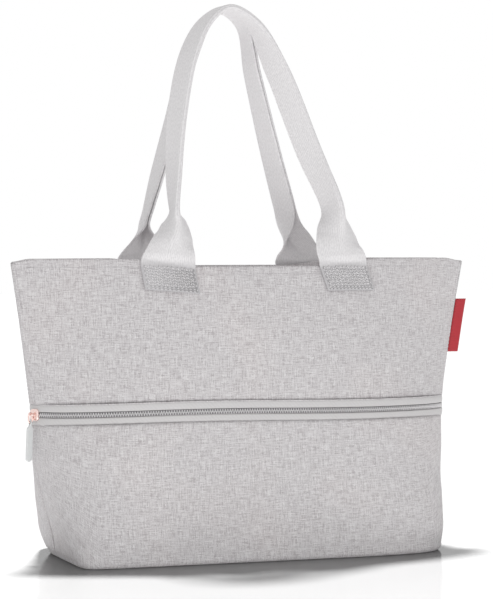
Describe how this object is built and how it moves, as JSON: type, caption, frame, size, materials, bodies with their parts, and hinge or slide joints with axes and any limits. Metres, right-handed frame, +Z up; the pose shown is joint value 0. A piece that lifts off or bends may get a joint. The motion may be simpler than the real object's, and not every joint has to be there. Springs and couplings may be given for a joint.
{
  "type": "shopper bag",
  "caption": "Open-topped cloth shopper on a flat boxed base, with a zip round its waist and two folded webbing handles.",
  "frame": {"origin": "middle of the base, on the ground", "axes": "+Z up, +X along the width towards the side seam with the label, front panel facing -Y"},
  "size_m": [0.4248, 0.176, 0.4767],
  "materials": {
    "melange_cloth": "light grey melange polyester weave",
    "zip_tape": "smooth woven zip tape, slightly satin",
    "zip_teeth": "grey nylon coil",
    "webbing": "finely ribbed light grey webbing",
    "label_ribbon": "plain red woven ribbon",
    "rose_gold": "polished rose gold plating",
    "coated_tab": "light grey coated strip, satin"
  },
  "bodies": {
    "bag": {"upper_body": "melange_cloth", "lower_body": "melange_cloth", "zip_tape_upper": "zip_tape", "zip_tape_lower": "zip_tape", "zip_chain": "zip_teeth", "front_handle": "webbing", "back_handle": "webbing", "side_label": "label_ribbon", "zip_slider": "rose_gold"},
    "pull": {"pull_link": "rose_gold", "pull_tab": "coated_tab"}
  },
  "joints": [
    {"name": "pull_swing", "type": "hinge", "parent": "bag", "child": "pull", "pos_m": [-0.19423, -0.00946, 0.12384], "axis": [-0.3279, 0.9447, 0], "range_deg": [0, 150]}
  ]
}
